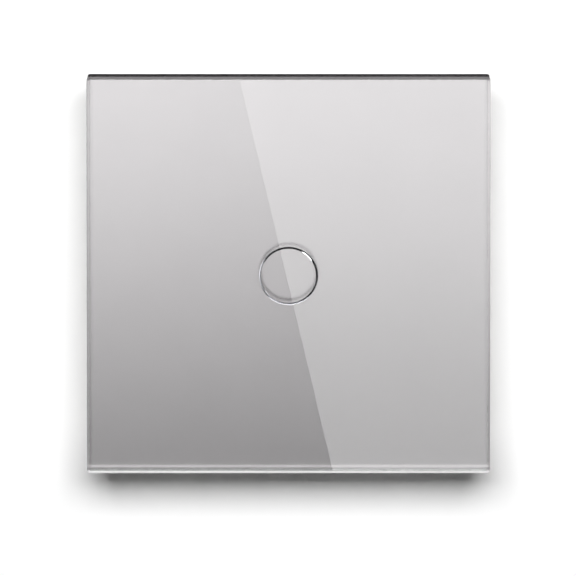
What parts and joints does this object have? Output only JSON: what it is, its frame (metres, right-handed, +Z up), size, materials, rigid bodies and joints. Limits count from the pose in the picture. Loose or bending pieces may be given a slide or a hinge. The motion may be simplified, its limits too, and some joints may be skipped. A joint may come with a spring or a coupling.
{
  "type": "touch light switch",
  "caption": "Square glass-fronted touch light switch for a round wall box, with a bevelled glass panel, touch ring, steel plate and rear electronics cup.",
  "frame": {"origin": "centre of the steel plate's rear face, midway between the wall box screws, on the wall surface", "axes": "+Z up, +X to the right as the user faces the glass, +Y into the wall; the glass faces -Y"},
  "size_m": [0.08, 0.038, 0.08],
  "materials": {
    "panel_glass": "polished tempered glass with bevelled edges",
    "silver_print": "silver-grey metallic print",
    "tape": "black foam tape",
    "carrier_plastic": "fine moulded texture",
    "zinc_plate": "bright zinc-plated sheet",
    "frame_plastic": "fine moulded texture",
    "screw_steel": "zinc-plated",
    "cup_plastic": "moulded flame-retardant plastic",
    "cover_plastic": "fine moulded texture",
    "light_guide": "translucent moulded acrylic",
    "board_laminate": "green solder mask",
    "spring_wire": "gold-plated wire",
    "led_resin": "clear resin over a yellow phosphor",
    "chip_epoxy": "black epoxy",
    "capacitor_ceramic": "tan ceramic",
    "connector_plastic": "black moulded plastic",
    "terminal_plastic": "light grey polyamide",
    "relay_plastic": "black moulded plastic",
    "relay_shell": "blue moulded case",
    "soft_iron": "nickel-plated soft iron",
    "enamelled_copper": "enamelled copper wire",
    "contact_alloy": "rolled copper alloy",
    "capacitor_box": "yellow moulded box",
    "can_sleeve": "black shrink sleeve",
    "varistor_coating": "blue epoxy coating",
    "ferrite": "sintered ferrite",
    "resistor_coating": "green flameproof coating",
    "clamp_steel": "zinc-plated steel",
    "brass_strip": "tinned brass strip"
  },
  "bodies": {
    "base": {"mounting_plate": "zinc_plate", "base_frame": "frame_plastic", "plate_screws": "screw_steel", "cup": "cup_plastic", "touch_cover": "cover_plastic", "cover_screws": "screw_steel", "light_ring": "light_guide", "touch_board": "board_laminate", "sensing_spring": "spring_wire", "status_leds": "led_resin", "touch_chip": "chip_epoxy", "chip_resistors": "chip_epoxy", "chip_capacitors": "capacitor_ceramic", "pin_header": "connector_plastic", "pin_socket": "connector_plastic", "power_board": "board_laminate", "terminal_block": "terminal_plastic", "relay_base": "relay_plastic", "relay_case": "relay_shell", "relay_yoke": "soft_iron", "relay_bobbin": "relay_plastic", "relay_winding": "enamelled_copper", "relay_core": "soft_iron", "return_spring": "contact_alloy", "rest_contact": "contact_alloy", "work_contact": "contact_alloy", "film_capacitor": "capacitor_box", "electrolytic_capacitor": "can_sleeve", "varistor": "varistor_coating", "filter_choke": "ferrite", "choke_winding": "enamelled_copper", "fusible_resistor": "resistor_coating", "bridge_rectifier": "chip_epoxy", "contact_bar_1": "brass_strip", "contact_bar_2": "brass_strip", "contact_bar_3": "brass_strip"},
    "front_panel": {"glass_panel": "panel_glass", "back_print": "silver_print", "bonding_tape": "tape", "panel_carrier": "carrier_plastic"},
    "relay_armature": {"relay_armature": "soft_iron", "contact_blade": "contact_alloy"},
    "terminal_screw_1": {"terminal_screw_1": "screw_steel"},
    "clamp_cage_1": {"clamp_cage_1": "clamp_steel"},
    "terminal_screw_2": {"terminal_screw_2": "screw_steel"},
    "clamp_cage_2": {"clamp_cage_2": "clamp_steel"},
    "terminal_screw_3": {"terminal_screw_3": "screw_steel"},
    "clamp_cage_3": {"clamp_cage_3": "clamp_steel"}
  },
  "joints": [
    {"name": "panel_pull", "type": "slide", "parent": "base", "child": "front_panel", "axis": [0, -1, 0], "range_m": [0, 0.015]},
    {"name": "armature_tilt", "type": "hinge", "parent": "base", "child": "relay_armature", "pos_m": [-0.00715, 0.01655, 0.0015], "axis": [0, 0, -1], "range_deg": [0, 4], "stiffness_Nm_per_rad": 0.01, "springref_deg": -5.73},
    {"name": "terminal_screw_1_turn", "type": "hinge", "parent": "base", "child": "terminal_screw_1", "pos_m": [-0.007, 0.0262, -0.01794], "axis": [0, -1, 0], "range_deg": [0, 1728]},
    {"name": "clamp_cage_1_rise", "type": "slide", "parent": "base", "child": "clamp_cage_1", "axis": [0, 1, 0], "range_m": [0, 0.0024]},
    {"name": "terminal_screw_2_turn", "type": "hinge", "parent": "base", "child": "terminal_screw_2", "pos_m": [0, 0.0262, -0.01794], "axis": [0, -1, 0], "range_deg": [0, 1728]},
    {"name": "clamp_cage_2_rise", "type": "slide", "parent": "base", "child": "clamp_cage_2", "axis": [0, 1, 0], "range_m": [0, 0.0024]},
    {"name": "terminal_screw_3_turn", "type": "hinge", "parent": "base", "child": "terminal_screw_3", "pos_m": [0.007, 0.0262, -0.01794], "axis": [0, -1, 0], "range_deg": [0, 1728]},
    {"name": "clamp_cage_3_rise", "type": "slide", "parent": "base", "child": "clamp_cage_3", "axis": [0, 1, 0], "range_m": [0, 0.0024]}
  ],
  "couplings": [
    {"joint": "terminal_screw_1_turn", "follows": "clamp_cage_1_rise", "rad_per_m": 12566},
    {"joint": "terminal_screw_2_turn", "follows": "clamp_cage_2_rise", "rad_per_m": 12566},
    {"joint": "terminal_screw_3_turn", "follows": "clamp_cage_3_rise", "rad_per_m": 12566}
  ]
}
